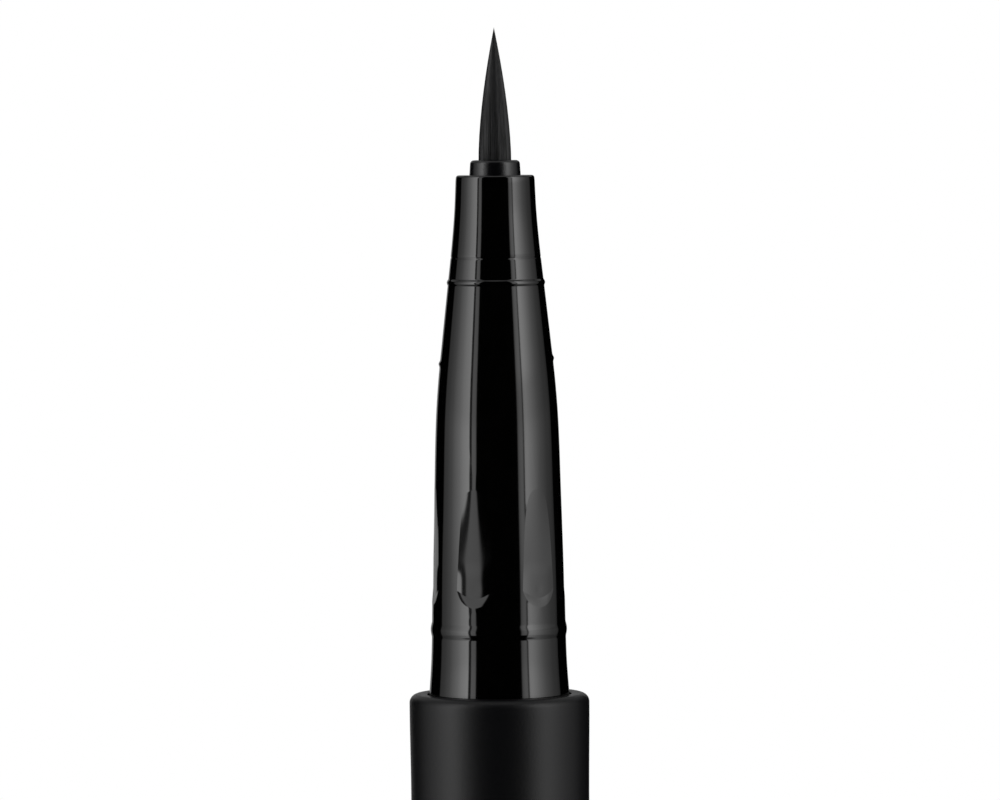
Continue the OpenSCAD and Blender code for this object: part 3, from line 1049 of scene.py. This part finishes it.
def grow_brush():
    """Fills the tree: filaments, root and flange, joined and given their finish."""
    g = Graph(brush_tree)
    source = g.add("NodeGroupInput")
    size = source.output
    lines = draw_in(g, size, stand_lines(g, size))
    profile = g.add("GeometryNodeCurvePrimitiveCircle", None,
                    {"Resolution": FILAMENT_SIDES, "Radius": 1.0})
    values = {"Curve": lines, "Profile Curve": profile, "Fill Caps": True}
    values["Scale"] = g.add("GeometryNodeInputRadius")
    strands = g.add("GeometryNodeCurveToMesh", None, values)
    low = size("Foot height") - size("Root length")
    root_length = size("Root length") - ROOT_DROP * MM
    root = root_disc(g, size("Bundle radius"), low, root_length)
    foot = root_disc(g, size("Root flange radius"), low, size("Root flange height"))
    joined = g.add("GeometryNodeJoinGeometry")
    for part in (strands, root, foot):
        g.tree.links.new(part.socket, joined.socket.node.inputs[0])
    joined = g.add("GeometryNodeRealizeInstances", None, {"Geometry": joined})
    joined = g.add("GeometryNodeSetMaterial", None,
                   {"Geometry": joined, "Material": filament_black})
    g.add("NodeGroupOutput", None, {"Geometry": joined})


grow_brush()
print("brush tree has", len(brush_tree.nodes), "nodes")

# %% [markdown]
# The tree runs on an empty object, and the result is taken from it as a plain mesh. A size is
# handed to the modifier by its socket's identifier, because the names there are only labels.


# %% Make the brush a plain mesh
def mesh_from_tree(name, tree, sizes):
    """What a tree makes on an empty object, as a mesh of its own."""
    holder = bpy.data.objects.new(name, bpy.data.meshes.new(name))
    bpy.context.scene.collection.objects.link(holder)
    modifier = holder.modifiers.new("tree", "NODES")
    modifier.node_group = tree
    for item in tree.interface.items_tree:
        if item.in_out == "INPUT" and item.name in sizes:
            modifier[item.identifier] = sizes[item.name][1]
    depsgraph = bpy.context.evaluated_depsgraph_get()
    mesh = bpy.data.meshes.new_from_object(holder.evaluated_get(depsgraph), depsgraph=depsgraph)
    bpy.data.objects.remove(holder)
    mesh.name = name
    return mesh


brush_mesh = mesh_from_tree("brush_filaments", brush_tree, BRUSH_SIZES)
shade(brush_mesh, sharp_angle=60)
place_piece("brush_filaments", brush_mesh, filament_black, "filament_black", "pen", "brush_tuft")

# %% [markdown]
# A gloss black thing is lit by what it mirrors. In the photograph the front section mirrors,
# on each side, a slim panel and behind it a wide softbox that fades towards the back, with
# black between and in front. Area lamps could stand there, but a lamp glows evenly and its
# edges show. So each side is one curved wall round the pen that the camera does not see. Its
# table gives the glow against the angle from the camera's direction, in degrees.

# %% Tables of the glow
LEFT_GLOW = [
    (38.9, 0.0), (40.3, 1.7), (44.6, 1.8), (48.0, 1.9), (48.6, 0.18), (52.5, 0.18),
    (53.3, 4.6), (60.0, 4.1), (66.0, 3.6), (74.0, 2.6), (82.0, 1.9), (92.0, 1.05),
    (104.0, 0.57), (114.0, 0.36), (116.5, 0.0),
]
RIGHT_GLOW = [
    (37.2, 0.0), (39.4, 1.3), (44.0, 1.8), (48.2, 1.8), (48.8, 0.6), (50.8, 0.6),
    (51.6, 3.8), (57.0, 3.8), (65.0, 3.0), (72.0, 2.25), (80.0, 1.55), (86.0, 1.15),
    (93.0, 0.85), (102.0, 0.52), (112.0, 0.36), (119.0, 0.2), (121.0, 0.0),
]
for side_name, table in (("left", LEFT_GLOW), ("right", RIGHT_GLOW)):
    print("brightest on the", side_name, max(tone for _, tone in table))

# %% [markdown]
# All of them show in reflections, the glowing ones light rough surfaces too, and none throws a
# shadow or stands in the camera's view.


# %% Curved walls
WALL_R = 0.30
WALL_FOOT = -0.01
WALL_TOP = 0.46


def wall_mesh(name, start, end, radius, low, high):
    """A curved wall from one angle to another, in degrees from the camera's direction."""
    bm = bmesh.new()
    steps = max(2, round(abs(end - start)))
    pairs = []
    for i in range(steps + 1):
        a = math.radians(start + (end - start) * i / steps)
        x, y = radius * math.sin(a), -radius * math.cos(a)
        pairs.append([bm.verts.new((x, y, z)) for z in (low, high)])
    for (a, b), (c, d) in zip(pairs, pairs[1:]):
        bm.faces.new([a, c, d, b])
    mesh = bpy.data.meshes.new(name)
    bm.to_mesh(mesh)
    bm.free()
    return mesh


def set_wall(name, mesh, material, seen_by_diffuse):
    """Stands a wall or a card up as stage that only reflections, or also rough surfaces, see."""
    wall = bpy.data.objects.new(name, mesh)
    bpy.context.scene.collection.objects.link(wall)
    mesh.materials.append(material)
    wall.visible_camera = False
    wall.visible_transmission = False
    wall.visible_diffuse = seen_by_diffuse
    wall.visible_shadow = False


print("walls stand", WALL_R, "m from the pen")

# %% [markdown]
# The glow fades a little above and below the middle of the front section, as a softbox does.
# The slim panels end above the table, which leaves the dark spots under the rear bead, and the
# wide softboxes dim there. The right wall is a quarter brighter high up, where the steep upper
# half of the front section mirrors it.


# %% Glowing walls
GLOW_MAX = 5.0
GLOW_MIDDLE = (RIM_Z + 15) * MM
GLOW_REACH = 15 * MM
GLOW_FADE = 0.12
SLIM_END = 50.5
LOW_START = 0.06
LOW_FADE = 0.02
LOW_DIM = 0.3
HIGH_START = (RIM_Z + 48) * MM
HIGH_FADE = 15 * MM
GLOWING_WALLS = {"left_wall": (-1, LEFT_GLOW, 0.0), "right_wall": (1, RIGHT_GLOW, 0.26)}


def glow_material(name, side, table, high_gain):
    """A glow that follows a table of angle and tone on one side, -1 left and 1 right."""
    finish = Finish(name)
    place = finish.add("ShaderNodeSeparateXYZ", None, {0: finish.place})
    z = place.output("Z")
    angle = (place * side).math("ARCTAN2", 0 - place.output("Y")) * (180 / math.pi)
    stops = [(a / 180, tone / GLOW_MAX) for a, tone in table]
    tone = finish.add("ShaderNodeValToRGB", {"stops": stops}, {0: angle / 180})
    off_middle = (z - GLOW_MIDDLE) / GLOW_REACH
    strength = GLOW_MAX * (1 - GLOW_FADE * (off_middle * off_middle).math("MINIMUM", 1.0))
    low = ((LOW_START - z) / LOW_FADE).clamped()
    slim = angle.math("LESS_THAN", SLIM_END)
    strength = strength * (1 - low * (LOW_DIM + (1 - LOW_DIM) * slim))
    high = ((z - HIGH_START) / HIGH_FADE).clamped()
    strength = strength * (1 + high * high_gain)
    glow = finish.add("ShaderNodeEmission", None, {"Color": tone, "Strength": strength})
    return finish.ends_in(glow)


for wall_name, (side, table, high_gain) in GLOWING_WALLS.items():
    ends = side * table[0][0], side * table[-1][0]
    mesh = wall_mesh(wall_name, *ends, WALL_R, WALL_FOOT, WALL_TOP)
    set_wall(wall_name, mesh, glow_material(wall_name + "_glow", side, table, high_gain), True)
print(len(GLOWING_WALLS), "glowing walls")

# %% [markdown]
# Between and behind the glowing walls stand plain ones, mostly black, which only a reflection
# sees. Without them the pen would mirror the white surroundings and lose its black edges. A dim
# one at the back left lights the vent flat that is seen edge on. The barrel's flat rim mirrors a
# strip of pale backdrop behind the pen, and the round of the rim a dim wall high up over it.


# %% Plain walls
OUTER_R = 0.31
HIGH_R = 0.305
FRONT_TOP = 1.0
HIGH_FOOT = 0.25
STRIP_TOP = 0.2


def plain_material(name, tone):
    """A surface that gives off one even light, or none where the tone is 0."""
    finish = Finish(name)
    glow = finish.add("ShaderNodeEmission", None, {"Color": (1, 1, 1, 1), "Strength": tone})
    return finish.ends_in(glow)


wall_black = plain_material("wall_black", 0.0)
wall_dim = plain_material("wall_dim", 0.35)
wall_high = plain_material("wall_high", 0.3)
wall_back = plain_material("wall_back", 0.6)
PLAIN_WALLS = {
    "front_wall": (-LEFT_GLOW[0][0], RIGHT_GLOW[0][0], OUTER_R, WALL_FOOT, FRONT_TOP, wall_black),
    "back_wall": (120.5, 205.0, OUTER_R, WALL_FOOT, WALL_TOP, wall_black),
    "back_left_wall": (193.0, 205.0, WALL_R, WALL_FOOT, WALL_TOP, wall_dim),
    "back_side_wall": (205.0, 244.0, OUTER_R, WALL_FOOT, WALL_TOP, wall_black),
    "back_high_wall": (105.0, 255.0, HIGH_R, HIGH_FOOT, WALL_TOP, wall_high),
    "backdrop_strip": (168.0, 192.0, WALL_R, WALL_FOOT, STRIP_TOP, wall_back),
}
for wall_name, (start, end, radius, low, high, material) in PLAIN_WALLS.items():
    mesh = wall_mesh(wall_name, start, end, radius, low, high)
    set_wall(wall_name, mesh, material, False)
print(len(PLAIN_WALLS), "plain walls")

# %% [markdown]
# Cards on the floor, black in front and grey elsewhere, keep the undersides of the beads dark.
# They lie a hair under the pen's foot. A pale card overhead gives the front of the rim its soft
# line of light.

# %% Cards on the floor and overhead
CARD_R = WALL_R + 0.01
CARD_Z = -0.00002
CARD_LEFT = -51.0
CARD_RIGHT = 50.0
CARD_STEP = 4
CEILING_R = 0.45
CEILING_Z = 0.62


def card_mesh(name, start, end, radius, z):
    """A slice of a disc from one angle to another, in degrees from the camera's direction."""
    steps = round((end - start) / CARD_STEP)
    angles = [math.radians(start + (end - start) * i / steps) for i in range(steps + 1)]
    corners = [(radius * math.sin(a), -radius * math.cos(a), z) for a in angles]
    bm = bmesh.new()
    bm.faces.new([bm.verts.new(corner) for corner in [(0, 0, z)] + corners])
    mesh = bpy.data.meshes.new(name)
    bm.to_mesh(mesh)
    bm.free()
    return mesh


card_grey = plain_material("card_grey", 0.4)
card_pale = plain_material("card_pale", 0.6)
CARDS = {
    "front_card": (CARD_LEFT, CARD_RIGHT, CARD_R, CARD_Z, wall_black),
    "right_card": (CARD_RIGHT, 180.0, CARD_R, CARD_Z, card_grey),
    "left_card": (-180.0, CARD_LEFT, CARD_R, CARD_Z, card_grey),
    "ceiling_card": (-180.0, 180.0, CEILING_R, CEILING_Z, card_pale),
}
for card_name, (start, end, radius, z, material) in CARDS.items():
    set_wall(card_name, card_mesh(card_name, start, end, radius, z), material, False)
print(len(CARDS), "cards")

# %% [markdown]
# The floor is pale and keeps the pen's shadow. Further out it turns into the plain white of
# the background. A picture could be whitened afterwards, but here the scene does it itself: the
# world is white to whatever the camera, a mirror or a glass sees, while its real light on the
# pen stays a soft fill.


# %% Floor
FLOOR_R = 0.8
FLOOR_AROUND = 128
FLOOR_Z = -0.00004
WHITE_START = 0.12
WHITE_FADE = 0.2


def ray_kind(graph):
    """1 for a ray from the camera, a reflection or glass, otherwise 0."""
    path = graph.add("ShaderNodeLightPath", out="Is Camera Ray")
    seen = path.math("MAXIMUM", path.output("Is Glossy Ray"))
    return seen.math("MAXIMUM", path.output("Is Transmission Ray"))


def make_floor_finish():
    """Pale card near the pen, and plain white for the eye further out."""
    finish = Finish("pale_floor")
    length = finish.add("ShaderNodeVectorMath", {"operation": "LENGTH"}, {0: finish.place}, "Value")
    far = ((length - WHITE_START) / WHITE_FADE).clamped()
    far = far * far * (3 - 2 * far)
    grain = finish.noise(700, detail=2.0)
    card = finish.add("ShaderNodeBsdfDiffuse", None, {
        "Color": finish.between(grain, (0.83, 0.83, 0.83), (0.87, 0.87, 0.87))})
    white = finish.add("ShaderNodeEmission", None, {"Color": (1, 1, 1, 1), "Strength": 1.0})
    mixed = finish.add("ShaderNodeMixShader", None,
                       {0: far * ray_kind(finish), 1: card, 2: white})
    return finish.ends_in(mixed)


floor_bm = bmesh.new()
bmesh.ops.create_circle(floor_bm, cap_ends=True, segments=FLOOR_AROUND, radius=FLOOR_R)
floor_mesh = bpy.data.meshes.new("pale_floor")
floor_bm.to_mesh(floor_mesh)
floor_bm.free()
floor_mesh.transform(Matrix.Translation((0, 0, FLOOR_Z)))
floor_mesh.materials.append(make_floor_finish())
floor = bpy.data.objects.new("pale_floor", floor_mesh)
bpy.context.scene.collection.objects.link(floor)
print("floor", FLOOR_R, "m in radius")


# %% Background
def set_world(fill):
    """White to the eye, and a fill of less than white to the pen's rough surfaces."""
    world = bpy.data.worlds.new("white_studio")
    world.use_nodes = True
    graph = Graph(world.node_tree)
    seen = ray_kind(graph)
    sky = graph.add("ShaderNodeBackground", None,
                    {"Color": (1, 1, 1, 1), "Strength": seen * (1 - fill) + fill})
    graph.add("ShaderNodeOutputWorld", None, {"Surface": sky})
    bpy.context.scene.world = world


set_world(fill=0.55)
print("background", bpy.context.scene.world.name)
